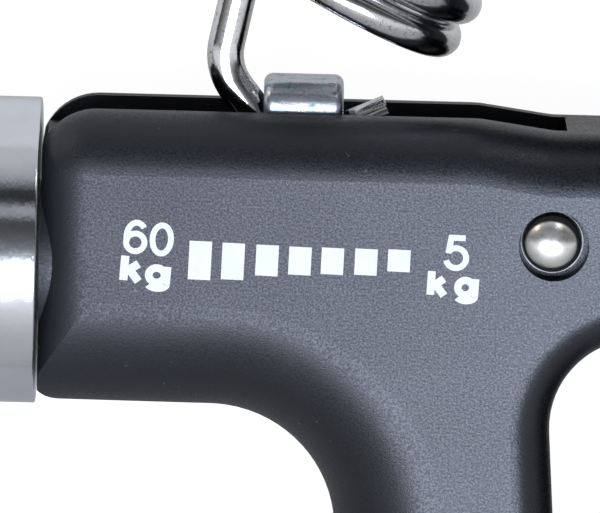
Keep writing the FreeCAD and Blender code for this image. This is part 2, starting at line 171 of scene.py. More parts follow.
def rampNode(tree, value, stops):
    ramp = tree.nodes.new("ShaderNodeValToRGB")
    elements = ramp.color_ramp.elements
    stops = list(stops)
    while len(elements) < len(stops):
        elements.new(0.5)
    for element, (position, colour) in zip(elements, stops):
        element.position = position
        element.color = (*colour, 1.0)
    tree.links.new(value, ramp.inputs["Fac"])
    return ramp.outputs["Color"]


def rangeNode(tree, value, low, high, fromLow=0.3, fromHigh=0.7):
    spread = tree.nodes.new("ShaderNodeMapRange")
    for socket, number in (("From Min", fromLow), ("From Max", fromHigh), ("To Min", low), ("To Max", high)):
        spread.inputs[socket].default_value = number
    tree.links.new(value, spread.inputs["Value"])
    return spread.outputs["Result"]


def mathNode(tree, operation, first, second):
    node = tree.nodes.new("ShaderNodeMath")
    node.operation = operation
    for socket, value in zip(node.inputs, (first, second)):
        if isinstance(value, (int, float)):
            socket.default_value = value
        else:
            tree.links.new(value, socket)
    return node.outputs["Value"]


def vectorNode(tree, operation, value, other=None):
    node = tree.nodes.new("ShaderNodeVectorMath")
    node.operation = operation
    tree.links.new(value, node.inputs[0])
    if other is not None:
        node.inputs[1].default_value = other
    return node.outputs["Value" if operation == "LENGTH" else "Vector"]


def mixColour(tree, amount, first, second, kind="MIX"):
    node = tree.nodes.new("ShaderNodeMix")
    node.data_type = "RGBA"
    node.blend_type = kind
    factor, a, b = node.inputs[0], node.inputs[6], node.inputs[7]
    for socket, value in ((factor, amount), (a, first), (b, second)):
        if isinstance(value, (int, float)):
            socket.default_value = value
        elif isinstance(value, tuple):
            socket.default_value = (*value, 1.0)
        else:
            tree.links.new(value, socket)
    return node.outputs[2]


def bumpNode(tree, height, strength, distance, under=None):
    bump = tree.nodes.new("ShaderNodeBump")
    bump.inputs["Strength"].default_value = strength
    bump.inputs["Distance"].default_value = distance
    tree.links.new(height, bump.inputs["Height"])
    if under:
        tree.links.new(under, bump.inputs["Normal"])
    return bump.outputs["Normal"]


# camera

cameraSetup = {
    "target": (-24.65, -2.08, 0.0),
    "distance": 1100.0,
    "tiltDegrees": 8.0,
    "rollDegrees": 1.5,
    "frameWidth": 58.82,
    "sensorWidth": 36.0,
    "nearClip": 0.01,
}


def makeCamera(setup):
    roll = math.radians(setup["rollDegrees"])
    tilt = math.radians(setup["tiltDegrees"])
    right = Vector((math.cos(roll), math.sin(roll), 0))
    level = Vector((-math.sin(roll), math.cos(roll), 0))
    towards = level * math.sin(tilt) + Vector((0, 0, 1)) * math.cos(tilt)
    top = towards.cross(right)
    data = bpy.data.cameras.new("camera")
    data.sensor_width = setup["sensorWidth"]
    data.lens = data.sensor_width * setup["distance"] / setup["frameWidth"]
    data.clip_start = setup["nearClip"]
    camera = linkNew("camera", data)
    turn = Matrix((right, top, towards)).transposed().to_4x4()
    spot = place(*setup["target"]) + towards * setup["distance"] * mm
    camera.matrix_world = Matrix.Translation(spot) @ turn
    bpy.context.scene.camera = camera


makeCamera(cameraSetup)
print("camera placed")

# moulded black plastic of the frame and the lever

plasticLook = {
    "colour": (0.004, 0.0045, 0.006), "paler": (0.007, 0.008, 0.011),
    "cloud": (90.0, 4.0), "cloudEdges": (0.35, 0.70),
    "grainSize": 0.21, "grainDetail": (2.5, 0.6), "grainDepth": 0.040, "grainStrength": 0.55,
    "fine": (4200.0, 1.0), "fineShare": 0.3, "fineStrength": 0.35,
    "roughness": (0.385, 0.425), "mottle": 0.10, "mottleEdges": (0.36, 0.64),
    "handPolish": 0.072, "polishFrom": -50, "polishTo": 8,
    "dust": 0.14, "dustColour": (0.42, 0.40, 0.38), "specks": (2100.0, 0.0), "speckEdges": (0.80, 0.86),
    "patches": (140.0, 1.0), "patchEdges": (0.52, 0.60),
    "specular": 0.60, "specularTint": (0.88, 0.90, 1.0),
}
capLook = {**plasticLook, "grainSize": 0.25, "roughness": (0.32, 0.40), "mottle": 0.03, "grainDepth": 0.012}
black, white = (0, 0, 0), (1, 1, 1)


def makePlastic(name, look):
    material, tree, shader, where = startMaterial(name)
    cloud = noiseNode(tree, where, *look["cloud"])
    grain = noiseNode(tree, where, 1 / (look["grainSize"] * mm), *look["grainDetail"])
    fine = noiseNode(tree, where, *look["fine"])
    specks = noiseNode(tree, where, *look["specks"])
    patches = noiseNode(tree, where, *look["patches"])
    split = tree.nodes.new("ShaderNodeSeparateXYZ")
    tree.links.new(where, split.inputs["Vector"])
    base = rampNode(tree, cloud, zip(look["cloudEdges"], (look["colour"], look["paler"])))
    dust = rampNode(tree, specks, zip(look["speckEdges"], (black, white)))
    dust = mathNode(tree, "MULTIPLY", dust, rangeNode(tree, patches, 0.0, look["dust"], *look["patchEdges"]))
    base = mixColour(tree, dust, base, look["dustColour"])
    # smoother towards the pivot, where hands have polished it
    polish = rangeNode(tree, split.outputs["X"], look["handPolish"], -look["handPolish"],
                       place(look["polishFrom"], 0).x, place(look["polishTo"], 0).x)
    mottle = rangeNode(tree, grain, -look["mottle"], look["mottle"], *look["mottleEdges"])
    rough = mathNode(tree, "ADD", rangeNode(tree, cloud, *look["roughness"]), mottle)
    grained = bumpNode(tree, grain, look["grainStrength"], look["grainDepth"] * mm)
    normal = bumpNode(tree, fine, look["fineStrength"], look["grainDepth"] * look["fineShare"] * mm, grained)
    feedShader(tree, shader, base, mathNode(tree, "ADD", rough, polish), normal)
    shader.inputs["Specular IOR Level"].default_value = look["specular"]
    shader.inputs["Specular Tint"].default_value = (*look["specularTint"], 1.0)
    return material


bodyPlastic = makePlastic("bodyPlastic", plasticLook)
capPlastic = makePlastic("capPlastic", capLook)

# metals

metalSurface = {
    "cloud": (260.0, 4.0), "cloudEdges": (0.35, 0.62),
    "pits": (1500.0, 2.0), "pitStrength": 0.25, "pitDepth": 0.0012, "pitDulling": 0.04,
    "dots": (2600.0, 4.0, 0.7), "dotEdges": (0.56, 0.66), "dotColour": (0.10, 0.09, 0.12),
    "lineNoise": (1.0, 3.0, 0.7), "lineStrength": 0.6,
}
metalLooks = {
    "knobChrome": {"colour": (0.83, 0.87, 0.93), "roughness": (0.07, 0.13), "stain": 0.05,
                   "lines": (3500.0, 1300.0, 1300.0), "depth": 0.030},
    "springChrome": {"colour": (0.78, 0.78, 0.80), "roughness": (0.06, 0.14), "stain": 0.20, "specks": 0.7},
    "zincPlate": {"colour": (0.56, 0.59, 0.66), "roughness": (0.22, 0.36), "stain": 0.22,
                  "lines": (200.0, 2600.0, 900.0), "depth": 0.006},
    "rivetSteel": {"colour": (0.62, 0.61, 0.60), "roughness": (0.16, 0.26), "stain": 0.15},
    "screwSteel": {"colour": (0.55, 0.55, 0.57), "roughness": (0.20, 0.34), "stain": 0.2,
                   "lines": (300.0, 900.0, 900.0), "depth": 0.004},
    "darkSteel": {"colour": (0.10, 0.10, 0.11), "roughness": (0.28, 0.42), "stain": 0.2},
    "turnedBrass": {"colour": (0.62, 0.46, 0.20), "roughness": (0.22, 0.32), "stain": 0.2,
                    "lines": (2500.0, 80.0, 80.0), "depth": 0.004},
}


def makeMetal(name, look):
    material, tree, shader, where = startMaterial(name)
    shader.inputs["Metallic"].default_value = 1.0
    cloud = noiseNode(tree, where, *look["cloud"])
    pits = noiseNode(tree, where, *look["pits"])
    dull = tuple(c * (1 - look["stain"]) for c in look["colour"])
    base = rampNode(tree, cloud, zip(look["cloudEdges"], (dull, look["colour"])))
    if "specks" in look:
        dots = noiseNode(tree, where, *look["dots"])
        speckled = rangeNode(tree, dots, 0.0, look["specks"], *look["dotEdges"])
        base = mixColour(tree, speckled, base, look["dotColour"])
    low, high = look["roughness"]
    dulling = rangeNode(tree, pits, 0.0, look["pitDulling"])
    rough = mathNode(tree, "ADD", rangeNode(tree, cloud, high, low), dulling)
    normal = bumpNode(tree, pits, look["pitStrength"], look["pitDepth"] * mm)
    if "lines" in look:
        lines = noiseNode(tree, where, *look["lineNoise"], look["lines"])
        normal = bumpNode(tree, lines, look["lineStrength"], look["depth"] * mm, normal)
    feedShader(tree, shader, base, rough, normal)
    return material


metals = {name: makeMetal(name, {**metalSurface, **look}) for name, look in metalLooks.items()}

# the nut's zinc is blotched and wrinkled from its bending and plating

nutLook = {
    "blue": (0.56, 0.68, 0.75), "violet": (0.70, 0.68, 0.76), "roughness": (0.24, 0.38),
    "cloud": (420.0, 3.0, 0.6), "cloudEdges": (0.40, 0.60),
    "blots": (900.0, 4.0, 0.65, (1.0, 1.7, 1.0)), "blotEdges": (0.56, 0.68), "blotShare": 0.75,
    "blotColour": (0.14, 0.16, 0.19), "pits": (2600.0, 2.0), "pitStrength": 0.4, "pitDepth": 0.012,
    "wrinkles": (260.0, 3.0, 0.6, (1.0, 1.8, 1.8)), "wrinkleStrength": 0.8, "wrinkleDepth": 0.07,
}


def makeNutZinc(look):
    material, tree, shader, where = startMaterial("nutZinc")
    shader.inputs["Metallic"].default_value = 1.0
    cloud = noiseNode(tree, where, *look["cloud"])
    blots = noiseNode(tree, where, *look["blots"])
    wrinkles = noiseNode(tree, where, *look["wrinkles"])
    pits = noiseNode(tree, where, *look["pits"])
    base = rampNode(tree, cloud, zip(look["cloudEdges"], (look["blue"], look["violet"])))
    blotted = rangeNode(tree, blots, 0.0, look["blotShare"], *look["blotEdges"])
    base = mixColour(tree, blotted, base, look["blotColour"])
    wrinkled = bumpNode(tree, wrinkles, look["wrinkleStrength"], look["wrinkleDepth"] * mm)
    normal = bumpNode(tree, pits, look["pitStrength"], look["pitDepth"] * mm, wrinkled)
    feedShader(tree, shader, base, rangeNode(tree, blots, *look["roughness"]), normal)
    return material


nutZinc = makeNutZinc(nutLook)

# the rivet's dome is plain steel in its middle; from there to the flange's rim a dark ring is painted in as a
# painted dark reflection of the dome's edge, and the flange's rim is dimmed by painted shade

rivetLook = {
    "steel": (0.90, 0.89, 0.86), "smudged": (0.42, 0.42, 0.45), "smudge": (700.0, 3.0, 0.6),
    "smudgeEdges": (0.55, 0.75), "smudgeShare": 0.6, "roughness": (0.24, 0.38),
    # the dark ring's colour and roughness are a painted dark reflection; rim is the share of it kept on the
    # flange's rim as painted shade
    "paintedDarkRing": (0.05, 0.05, 0.055), "darkRingRoughness": 0.3, "inner": 2.46, "innerEdge": 0.03, "outer": 2.96,
    "outerEdge": 0.015, "rim": 0.70, "reach": 3.2, "flat": (1.0, 1.0, 0.0),
    "ringShift": (-0.12, 0.0), "ringStretch": (1.0, 1.1, 0.0),
    "pits": (1900.0, 3.0), "pitStrength": 0.3, "pitDepth": 0.006,
}


def reachNode(tree, where, centre, unit, stretch):
    # distance from an upright line through the centre
    away = vectorNode(tree, "SUBTRACT", where, centre)
    flat = vectorNode(tree, "MULTIPLY", away, stretch)
    return mathNode(tree, "MULTIPLY", vectorNode(tree, "LENGTH", flat), 1.0 / unit)


def makeRivetSteel(look):
    material, tree, shader, where = startMaterial("rivetHead")
    shader.inputs["Metallic"].default_value = 1.0
    inner, outer, unit = look["inner"] / look["reach"], look["outer"] / look["reach"], look["reach"] * mm
    # the painted dark reflection ring is centred a little off the pivot and squeezed from top to bottom
    ringCentre = pivot + Vector((*look["ringShift"], 0)) * mm
    ringReach = reachNode(tree, where, ringCentre, unit, look["ringStretch"])
    rimReach = reachNode(tree, where, pivot, unit, look["flat"])
    edge = look["innerEdge"]
    # painted dark reflection: dark from the inner radius outwards, and past the flange's outer edge held at
    # the rim share as painted shade over the rim's highlight
    around = rampNode(tree, ringReach, [(inner - edge, black), (inner + edge, white)])
    within = rampNode(tree, rimReach, [(outer - look["outerEdge"], white), (outer, (look["rim"],) * 3)])
    paintedDarkRing = mathNode(tree, "MULTIPLY", around, within)
    smudge = noiseNode(tree, where, *look["smudge"])
    smudged = rangeNode(tree, smudge, 0.0, look["smudgeShare"], *look["smudgeEdges"])
    base = mixColour(tree, smudged, look["steel"], look["smudged"])
    base = mixColour(tree, paintedDarkRing, base, look["paintedDarkRing"])
    rough = mathNode(tree, "ADD", rangeNode(tree, smudge, *look["roughness"]),
                     mathNode(tree, "MULTIPLY", paintedDarkRing, look["darkRingRoughness"]))
    pits = noiseNode(tree, where, *look["pits"])
    feedShader(tree, shader, base, rough, bumpNode(tree, pits, look["pitStrength"], look["pitDepth"] * mm))
    return material


rivetHead = makeRivetSteel(rivetLook)

# nylon washers and the white print: a cloudy colour over a fine grain

nylonLook = {
    "colour": (0.60, 0.58, 0.52), "paler": (0.70, 0.68, 0.62), "cloudEdges": (0.30, 0.70),
    "roughness": (0.35, 0.50),
    "cloud": (400.0, 3.0), "grain": (2500.0, 3.0), "grainStrength": 0.3, "grainDepth": 0.01,
}
printLook = {
    "colour": (0.62, 0.65, 0.65), "paler": (0.72, 0.75, 0.74), "cloudEdges": (0.30, 0.62),
    "roughness": (0.45, 0.60),
    "cloud": (900.0, 3.0), "grain": (2400.0, 2.0), "grainStrength": 0.4, "grainDepth": 0.02,
}


def makeCloudy(name, look):
    material, tree, shader, where = startMaterial(name)
    cloud = noiseNode(tree, where, *look["cloud"])
    grain = noiseNode(tree, where, *look["grain"])
    base = rampNode(tree, cloud, zip(look["cloudEdges"], (look["colour"], look["paler"])))
    normal = bumpNode(tree, grain, look["grainStrength"], look["grainDepth"] * mm)
    feedShader(tree, shader, base, rangeNode(tree, cloud, *look["roughness"]), normal)
    return material


nylon = makeCloudy("nylon", nylonLook)

rubberLook = {
    "colour": (0.020, 0.020, 0.021), "paler": (0.034, 0.034, 0.035), "roughness": (0.52, 0.66),
    "cloud": (60.0, 4.0), "cloudEdges": (0.35, 0.70),
    "dotSize": 1.3, "dotDepth": 0.10, "dotStrength": 0.5, "dotEdges": (0.20, 0.42),
    "grain": (2600.0, 2.0), "grainStrength": 0.4, "grainDepth": 0.015,
}


def makeRubber(look):
    material, tree, shader, where = startMaterial("gripRubber")
    cloud = noiseNode(tree, where, *look["cloud"])
    grain = noiseNode(tree, where, *look["grain"])
    base = rampNode(tree, cloud, zip(look["cloudEdges"], (look["colour"], look["paler"])))
    cells = tree.nodes.new("ShaderNodeTexVoronoi")
    cells.inputs["Scale"].default_value = 1 / (look["dotSize"] * mm)
    cells.inputs["Randomness"].default_value = 0.0
    tree.links.new(where, cells.inputs["Vector"])
    dots = rangeNode(tree, cells.outputs["Distance"], 1.0, 0.0, *look["dotEdges"])
    dotted = bumpNode(tree, dots, look["dotStrength"], look["dotDepth"] * mm)
    normal = bumpNode(tree, grain, look["grainStrength"], look["grainDepth"] * mm, dotted)
    feedShader(tree, shader, base, rangeNode(tree, cloud, *look["roughness"]), normal)
    return material


gripRubber = makeRubber(rubberLook)
printWhite = makeCloudy("printWhite", printLook)

cadFinish = {
    "frame_body": bodyPlastic, "lever_body": bodyPlastic, "frame_cap": capPlastic, "lever_cap": capPlastic,
    "pivot_rivet": rivetHead, "rivet_washer": metals["zincPlate"], "pivot_bush": metals["turnedBrass"],
    "tongue_washer_front": nylon, "tongue_washer_back": nylon, "thrust_washer": nylon,
    "adjust_knob": metals["knobChrome"], "knob_set_screw": metals["darkSteel"], "knob_end_disc": capPlastic,
    "front_bush": metals["turnedBrass"], "tail_bush": metals["turnedBrass"], "slider_nut": nutZinc,
    "retaining_clip": metals["darkSteel"], "pin_retainer": metals["darkSteel"],
    "spring_anchor_pin": metals["rivetSteel"],
}
for node, material in cadFinish.items():
    slots = frame["nodes"][node].data.materials
    slots.clear()
    slots.append(material)
print("materials made")

# spring: one wire from the hook's tip, up the leg, round the coil and over the anchor pin

spring = {
    "wire": 1.8, "coil": 10.15, "pitch": 3.8, "turns": 3.5, "leanDegrees": 59.5,
    "start": (-20.95, 23.55), "tip": 10.9, "tipDegrees": 24.5, "low": (-26.21, 7.88), "knee": (-32.86, 16.45),
    "eyeBend": 7.0, "kneeBend": 5.5, "legBend": 3.6, "anchor": (-6.0, 46.5), "anchorEye": 4.7,
    "wrapDegrees": 235.0, "edge": 20.2 / 360, "splitTurn": 2.3, "sides": 9, "stepsPerTurn": 60,
    "wrapSteps": 48, "bendStepDegrees": 5,
}
lean = math.radians(spring["leanDegrees"])
across = Vector((math.sin(lean), -math.cos(lean), 0))
coilAxis = flatWay(lean)
lastTurn = spring["turns"] - spring["edge"]


def coilPoint(turn, radius=spring["coil"]):
    # point of the coil's wire, in drawing millimetres
    angle = 2 * math.pi * turn
    base = Vector((*spring["start"], 0)) + coilAxis * spring["pitch"] * turn
    return base - across * radius * math.cos(angle) + Vector((0, 0, radius * math.sin(angle)))


def coilHeading(turn, step=1e-4):
    return (coilPoint(turn + step) - coilPoint(turn - step)).normalized()


def legCorner(turn):
    # where the wire's tangent at this turn meets the arm's middle plane
    start, way = coilPoint(turn), coilHeading(turn)
    corner = start - way * (start.z / way.z)
    corner.z = 0
    return start, corner


def bentRoute(corners):
    # corners are (point, bend radius): straight runs joined by arcs
    route = [corners[0][0]]
    for before, (corner, radius), after in zip(corners, corners[1:], corners[2:]):
        back = (before[0] - corner).normalized()
        ahead = (after[0] - corner).normalized()
        half = back.angle(ahead) / 2
        centre = corner + (back + ahead).normalized() * radius / math.sin(half)
        first = corner + back * radius / math.tan(half) - centre
        last = corner + ahead * radius / math.tan(half) - centre
        count = max(3, round(first.angle(last) / math.radians(spring["bendStepDegrees"])))
        for i in range(count + 1):
            route.append(centre + first.slerp(last, i / count).normalized() * radius)
    route.append(corners[-1][0])
    return route


def coilRoute(first, last):
    count = round((last - first) * spring["stepsPerTurn"])
    return [coilPoint(first + (last - first) * i / count) for i in range(count + 1)]


def hookRoute():
    start, corner = legCorner(spring["edge"])
    low = Vector((*spring["low"], 0))
    knee = Vector((*spring["knee"], 0))
    tip = low + flatWay(math.radians(spring["tipDegrees"])) * spring["tip"]
    bends = [(tip, 0), (low, spring["eyeBend"]), (knee, spring["kneeBend"])]
    return bentRoute(bends + [(corner, spring["legBend"]), (start, 0)])


def topRoute():
    start, corner = legCorner(lastTurn)
    centre = Vector((*spring["anchor"], 0))
    reach = centre - corner
    leanIn = math.atan2(reach.y, reach.x) - math.asin(spring["anchorEye"] / reach.length)
    run = math.sqrt(reach.length ** 2 - spring["anchorEye"] ** 2)
    touch = corner + flatWay(leanIn) * run
    route = bentRoute([(start, 0), (corner, spring["legBend"]), (touch, 0)])
    first = math.atan2(touch.y - centre.y, touch.x - centre.x)
    for i in range(1, spring["wrapSteps"] + 1):
        angle = first + math.radians(spring["wrapDegrees"]) * i / spring["wrapSteps"]
        route.append(centre + flatWay(angle) * spring["anchorEye"])
    return route


def wirePiece(name, route):
    curve = bpy.data.curves.new(name, "CURVE")
    curve.dimensions = "3D"
    curve.bevel_depth = spring["wire"] * mm
    curve.bevel_resolution = spring["sides"]
    curve.use_fill_caps = True
    line = curve.splines.new("POLY")
    line.points.add(len(route) - 1)
    for point, spot in zip(line.points, route):
        point.co = (*place(*spot), 1.0)
    holder = linkNew("holder", curve)
    mesh = evaluatedMesh(holder)
    bpy.data.objects.remove(holder)
    bm = bmesh.new()
    bm.from_mesh(mesh)
    closeSeams(bm)
    return newPiece(name, bm, metals["springChrome"])


def makeSpring():
    split = spring["splitTurn"]
    hook = wirePiece("springHook", hookRoute())
    lower = wirePiece("springCoilLow", coilRoute(spring["edge"], split))
    upper = wirePiece("springCoilTop", coilRoute(split, lastTurn) + topRoute()[1:])
    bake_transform(hook)
    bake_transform(lower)
    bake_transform(upper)
    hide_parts("spring_hook_lower")
    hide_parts("spring_coil_lower")
    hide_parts("spring_coil_upper", "spring_hook_upper")


makeSpring()
print("spring wound")

# lead screw with its thread

screwSizes = {
    "y": -2.07, "outer": 4.0, "root": 3.45, "pitch": 1.25, "left": -45.0, "right": -11.0, "steps": 32,
    "flank": (0.10, 0.44), "journal": 3.0, "journalLeft": -62.05, "tail": 2.0, "tailRight": -8.2,
    "sink": 0.01, "shaftSides": 48, "sharp": 35,
}


def spinOutline(bm, outline, axisY, **turning):
    # outline stations are (x, radius), spun about the screw's own axis
    verts = [bm.verts.new(place(x, axisY + radius)) for x, radius in outline]
    edges = [bm.edges.new(pair) for pair in zip(verts, verts[1:])]
    bmesh.ops.spin(bm, geom=verts + edges, cent=place(0, axisY), axis=(1, 0, 0), **turning)
    bmesh.ops.remove_doubles(bm, verts=bm.verts, dist=mergeDistance)


def makeScrew(size):
    bm = bmesh.new()
    pitch, root, outer = size["pitch"], size["root"], size["outer"]
    foot, crest = size["flank"]
    thread = [(0.0, root), (foot, root), (crest, outer), (1 - crest, outer), (1 - foot, root), (1.0, root)]
    turns = int((size["right"] - size["left"]) / pitch) - 1
    steps = turns * size["steps"]
    spinOutline(bm, [(size["left"] + share * pitch, radius) for share, radius in thread], size["y"],
                dvec=Vector((turns * pitch * mm / steps, 0, 0)), angle=turns * 2 * math.pi, steps=steps,
                use_merge=False)
    shaft = [(size["journalLeft"], 0.0), (size["journalLeft"], size["journal"]),
             (size["left"], size["journal"]), (size["left"], root - size["sink"]),
             (size["right"], root - size["sink"]), (size["right"], size["tail"]),
             (size["tailRight"], size["tail"]), (size["tailRight"], 0.0)]
    spinOutline(bm, shaft, size["y"], angle=2 * math.pi, steps=size["shaftSides"], use_merge=True)
    bmesh.ops.recalc_face_normals(bm, faces=bm.faces)
    piece = newPiece("leadScrew", bm, metals["screwSteel"], "screw", size["sharp"])
    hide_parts("lead_screw")


makeScrew(screwSizes)
print("lead screw cut")

# round knob: plain towards the arm, fluted at its free end

knobSizes = {
    "y": -2.07, "outer": 15.0, "left": -64.25, "right": -50.25, "plain": 5.6, "bore": 3.0, "web": 2.2,
    "flutes": 36, "fluteRadius": 1.0, "fluteOffset": 0.3, "stepsPerFlute": 12,
    "edge": 0.22, "edgeSteps": 4, "margin": 0.05, "disc": 9.0, "discDepth": 1.0, "sharp": 35,
    "screwX": -60.0, "screwRadius": 2.0, "drillSides": 40, "drillMiddle": 18.0, "drillLength": 30.0,
}


def fluteReach(angle, size):
    # distance from the axis to the fluted surface in one direction
    pitch = 2 * math.pi / size["flutes"]
    off = (angle / pitch) % 1.0 - 0.5
    away = (size["outer"] + size["fluteOffset"]) * math.sin(off * pitch)
    if abs(away) >= size["fluteRadius"]:
        return size["outer"]
    middle = (size["outer"] + size["fluteOffset"]) * math.cos(off * pitch)
    return min(size["outer"], middle - math.sqrt(size["fluteRadius"] ** 2 - away ** 2))


def roundedRim(x, side, size):
    # stations (x, radius) round the rim, from the end face to the side
    edge, margin, outer = size["edge"], size["margin"], size["outer"]
    stations = [(x, outer - edge - margin)]
    for step in range(size["edgeSteps"] + 1):
        angle = math.radians(90 * step / size["edgeSteps"])
        stations.append((x - side * edge * (1 - math.cos(angle)), outer - edge * (1 - math.sin(angle))))
    return stations + [(x - side * (edge + margin), outer)]


def makeKnob(size):
    flat, fluted = False, True
    left, right, outer = size["left"], size["right"], size["outer"]
    fluteEnd = right - size["plain"]
    stations = [(left + size["web"], size["bore"], flat), (right, size["bore"], flat)]
    stations += [(x, radius, flat) for x, radius in roundedRim(right, 1, size)]
    stations += [(fluteEnd + size["margin"], outer, flat), (fluteEnd, outer, flat), (fluteEnd, outer, fluted)]
    stations += [(x, radius, fluted) for x, radius in reversed(roundedRim(left, -1, size))]
    stations += [(left, size["disc"], flat), (left + size["discDepth"], size["disc"], flat)]
    count = size["flutes"] * size["stepsPerFlute"]
    angles = [2 * math.pi * i / count for i in range(count)]
    bm = bmesh.new()
    ring = [bm.verts.new((0, math.cos(angle), math.sin(angle))) for angle in angles]
    rim = [bm.edges.new(pair) for pair in zip(ring, ring[1:] + ring[:1])]
    bmesh.ops.contextual_create(bm, geom=rim)
    for index, (x, radius, hasFlutes) in enumerate(stations):
        if index:
            made = bmesh.ops.extrude_edge_only(bm, edges=ringEdges(ring))
            ring = ringAfter(made, ring)
        for vert, angle in zip(ring, angles):
            reach = min(radius, fluteReach(angle, size)) if hasFlutes else radius
            vert.co = place(x, size["y"] + reach * math.cos(angle), reach * math.sin(angle))
    bmesh.ops.contextual_create(bm, geom=ringEdges(ring))
    closeSeams(bm)
    piece = newPiece("chromeKnob", bm, metals["knobChrome"], None, size["sharp"])
    drillKnob(piece, size)
    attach(piece, "screw")
    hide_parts("adjust_knob")


def drillKnob(piece, size):
    # radial hole for the set screw
    bm = bmesh.new()
    radius = size["screwRadius"] * mm
    bmesh.ops.create_cone(bm, cap_ends=True, segments=size["drillSides"], radius1=radius, radius2=radius,
                          depth=size["drillLength"] * mm)
    bmesh.ops.rotate(bm, verts=bm.verts, cent=(0, 0, 0), matrix=Matrix.Rotation(math.pi / 2, 3, "X"))
    bmesh.ops.translate(bm, verts=bm.verts, vec=place(size["screwX"], size["y"] + size["drillMiddle"]))
    drill = linkNew("drill", meshFrom("drill", bm))
    cut = piece.modifiers.new("hole", "BOOLEAN")
    cut.operation = "DIFFERENCE"
    cut.object = drill
    drilled = evaluatedMesh(piece)
    piece.modifiers.clear()
    bpy.data.objects.remove(drill)
    finishMesh(drilled, metals["knobChrome"], size["sharp"])
    piece.data = drilled


makeKnob(knobSizes)
print("knob turned")

# rubber grips

gripSizes = {
    "wall": 2.4, "half": 15.0, "round": 6.5, "foot": 9.0, "footSteps": 16, "top": -29.5, "bottom": -106.0,
    "lip": [(2.3, 0.0), (0.5, 0.0), (0.15, 0.15)], "lipDepth": 0.5, "sides": 52, "step": 0.8,
    "grooves": 4, "groovePitch": 16.1, "firstGroove": -45.2, "grooveDepth": 1.7, "grooveSpread": 1.3,
    "sharp": 50,
}
grips = [
    {"name": "frameGrip", "node": "frame_grip", "body": "frame", "left": -20.6, "right": 0.9,
     "turnDegrees": 0.0, "grooved": True},
    {"name": "leverGrip", "node": "lever_grip", "body": "lever", "left": 9.5, "right": 30.5,
     "turnDegrees": 18.0, "grooved": False},
]


def arcInset(radius, above):
    # how far a rounding of this radius draws the wall in, at a height above its foot
    return radius - math.sqrt(max(0, radius ** 2 - max(0, radius - above) ** 2))


def gripStations(size):
    # stations (inset, y) from the lip at the top down to the foot
    shoulder = size["top"] - size["lipDepth"]
    ankle = size["bottom"] + size["foot"]
    stations = [(inset, size["top"] - drop) for inset, drop in size["lip"]] + [(0.0, shoulder)]
    rows = round((size["top"] - ankle) / size["step"])
    stations += [(0.0, shoulder - (shoulder - ankle) * i / rows) for i in range(1, rows + 1)]
    steps = size["footSteps"]
    return stations + [(0.0, size["bottom"] + size["foot"] * (1 - math.sin(math.pi / 2 * i / steps)))
                       for i in range(1, steps + 1)]


def shapeRing(ring, ways, inset, y, grip, size):
    middle = (grip["left"] + grip["right"]) / 2
    wide = (grip["right"] - grip["left"]) / 2 + size["wall"]
    above = y - size["bottom"]
    a = wide - inset - arcInset(size["foot"], above)
    b = size["half"] - inset - arcInset(size["round"], above)
    soft = min(size["round"], a, b)
    grooveMiddle = size["firstGroove"] - size["groovePitch"] * (size["grooves"] - 1) / 2
    hollow = 0.0
    if grip["grooved"] and abs(y - grooveMiddle) < size["groovePitch"] * size["grooves"] / 2:
        hollow = 0.5 + 0.5 * math.cos(2 * math.pi * (y - size["firstGroove"]) / size["groovePitch"])
    for vert, way in zip(ring, ways):
        x = math.copysign(a - soft, way.x) + soft * way.x
        z = math.copysign(b - soft, way.y) + soft * way.y
        x += size["grooveDepth"] * hollow * smoothStep(-way.x * size["grooveSpread"])
        vert.co = place(middle + x, y, z)


def makeGrip(grip, size):
    bm = bmesh.new()
    bmesh.ops.create_circle(bm, cap_ends=False, radius=1.0, segments=size["sides"])
    halfSide = Matrix.Rotation(math.pi / size["sides"], 3, "Z")
    bmesh.ops.rotate(bm, verts=bm.verts, cent=(0, 0, 0), matrix=halfSide)
    ring = list(bm.verts)
    ways = [vert.co.copy() for vert in ring]
    rim = None
    for inset, y in gripStations(size):
        if rim:
            made = bmesh.ops.extrude_edge_only(bm, edges=rim)
            ring = ringAfter(made, ring)
        shapeRing(ring, ways, inset, y, grip, size)
        rim = ringEdges(ring)
    bmesh.ops.contextual_create(bm, geom=rim)
    bmesh.ops.recalc_face_normals(bm, faces=bm.faces)
    rotation = Matrix.Rotation(math.radians(grip["turnDegrees"]), 4, "Z")
    turn = Matrix.Translation(pivot) @ rotation @ Matrix.Translation(-pivot)
    bmesh.ops.transform(bm, matrix=turn, verts=bm.verts)
    piece = newPiece(grip["name"], bm, gripRubber, grip["body"], size["sharp"])
    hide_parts(grip["node"])


for grip in grips:
    makeGrip(grip, gripSizes)
print("grips moulded")

# printed load scale on the arm

scalePrint = {
    "barWidth": 2.18, "thick": 0.03, "lift": 0.004, "strokeStep": 0.004, "slantDegrees": -1.5, "sharp": 30,
    "bars": [((-34.38, -0.96), 3.78), ((-31.18, -0.97), 3.58), ((-27.88, -0.79), 3.02),
             ((-24.69, -0.76), 2.74), ((-21.54, -0.70), 2.60), ((-18.29, -0.70), 2.58),
             ((-15.09, -0.49), 2.16)],
    # letter, middle, width and height, turn in degrees, stroke's width
    "letters": [
        ("6", (-40.66, 1.18), (2.36, 3.37), -3.0, 0.57),
        ("0", (-38.13, 1.00), (2.36, 3.33), -3.0, 0.57),
        ("k", (-40.95, -1.92), (2.34, 2.80), -3.5, 0.80),
        ("g", (-38.45, -2.79), (2.50, 2.69), -3.5, 0.74),
        ("5", (-9.53, 0.42), (2.46, 3.53), -1.0, 0.58),
        ("k", (-11.26, -2.60), (2.15, 2.69), -2.5, 0.76),
        ("g", (-8.50, -3.23), (2.38, 2.69), -2.5, 0.72),
    ],
}


def glyphArc(centre, reach, first, last, steps=28):
    # stretch of an ellipse, in shares of the glyph's box, between two directions in degrees
    angles = [math.radians(first + (last - first) * i / steps) for i in range(steps + 1)]
    return [(centre[0] + reach[0] * math.cos(a), centre[1] + reach[1] * math.sin(a)) for a in angles]


